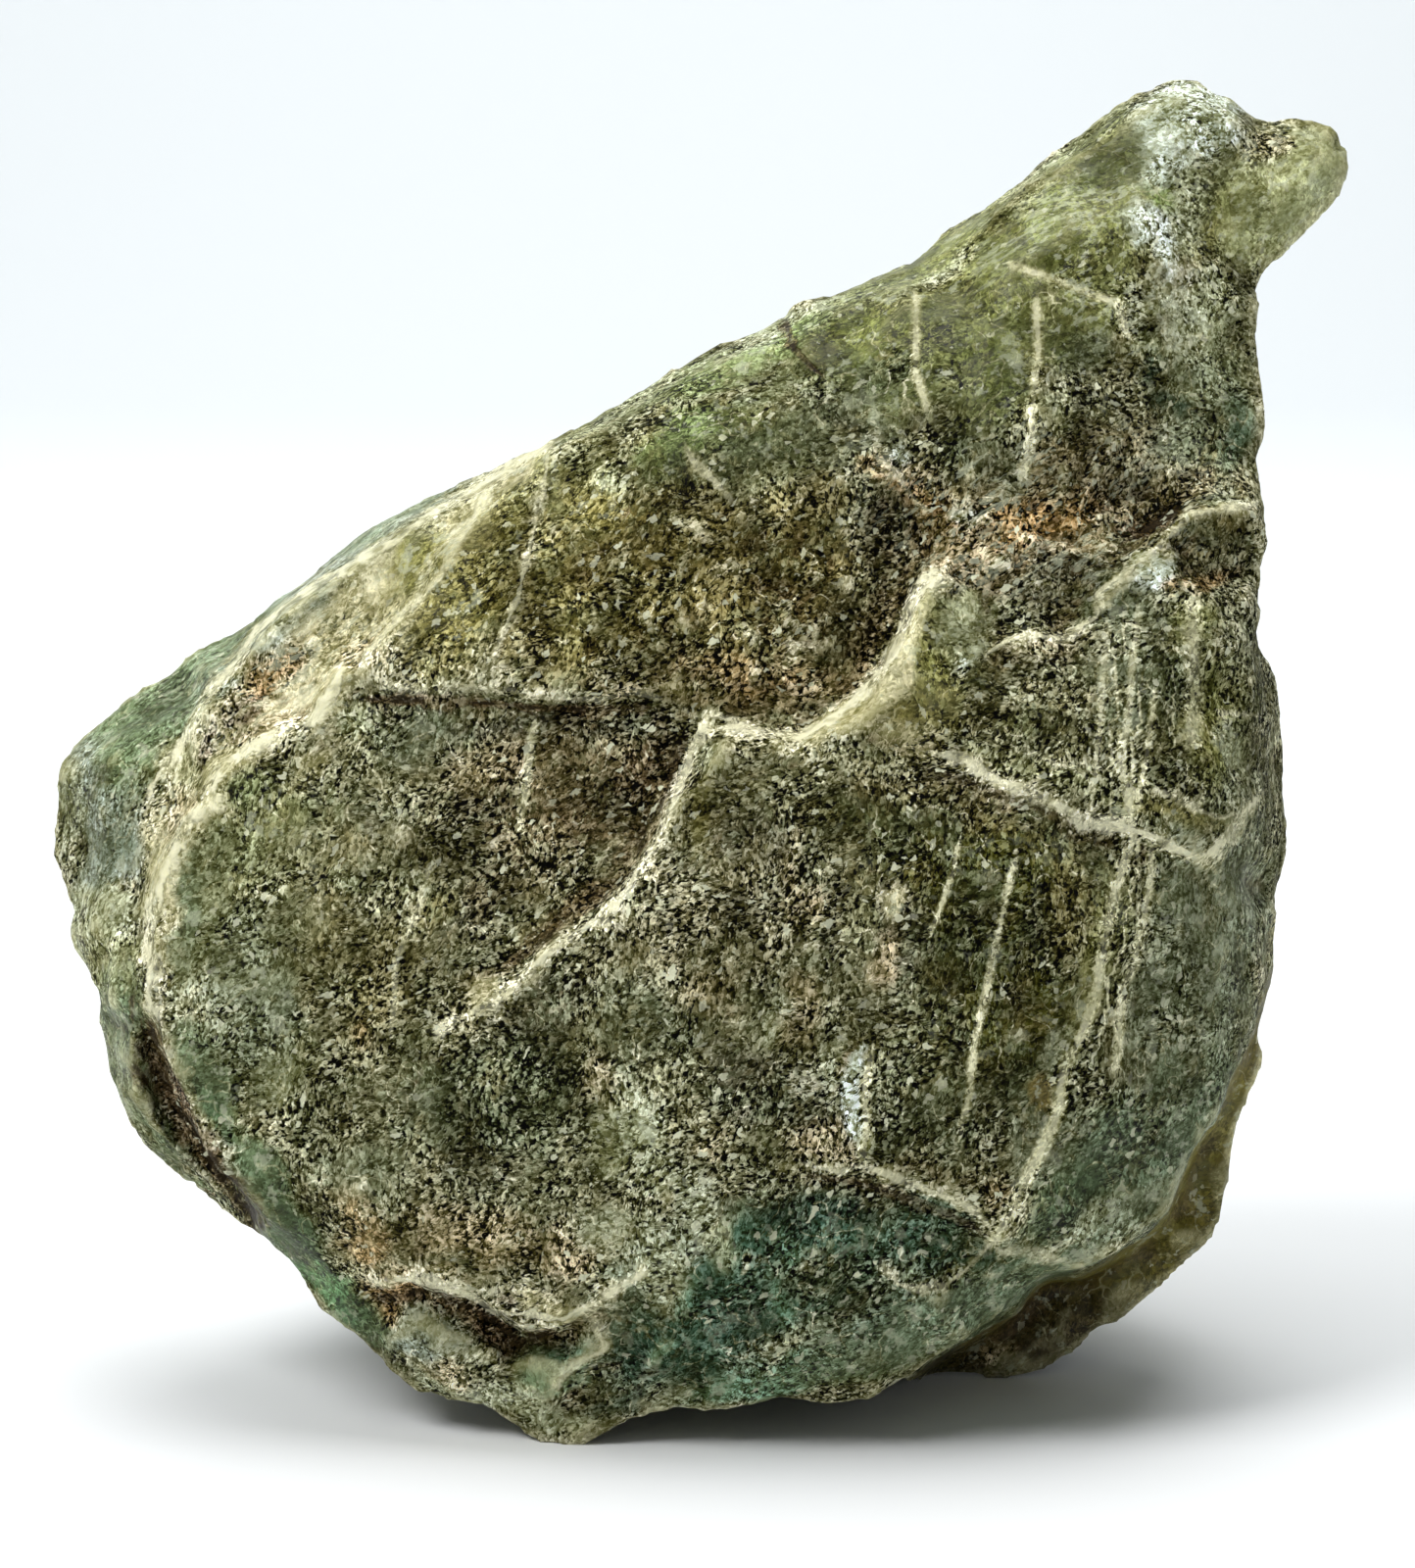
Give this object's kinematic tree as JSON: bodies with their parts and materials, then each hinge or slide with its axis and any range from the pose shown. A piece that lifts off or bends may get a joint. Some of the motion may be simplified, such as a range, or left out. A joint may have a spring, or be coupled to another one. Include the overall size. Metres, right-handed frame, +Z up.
{
  "type": "raw aventurine stone",
  "caption": "Raw lump of green aventurine with broken ledges, pale veins and a horn-like tip, standing on its own broken edge.",
  "frame": {"origin": "middle of the stone's box in X and Y, at the floor that it stands on", "axes": "+Z up as the stone stands; -Y out of the broad broken face that the picture shows; the horn-like tip is towards +X"},
  "size_m": [0.1142, 0.065, 0.1139],
  "materials": {
    "aventurine": "rough broken quartz, olive to blue-green, waxy and slightly translucent at its thin edges"
  },
  "bodies": {
    "root": {"aventurine_stone": "aventurine"}
  },
  "joints": []
}
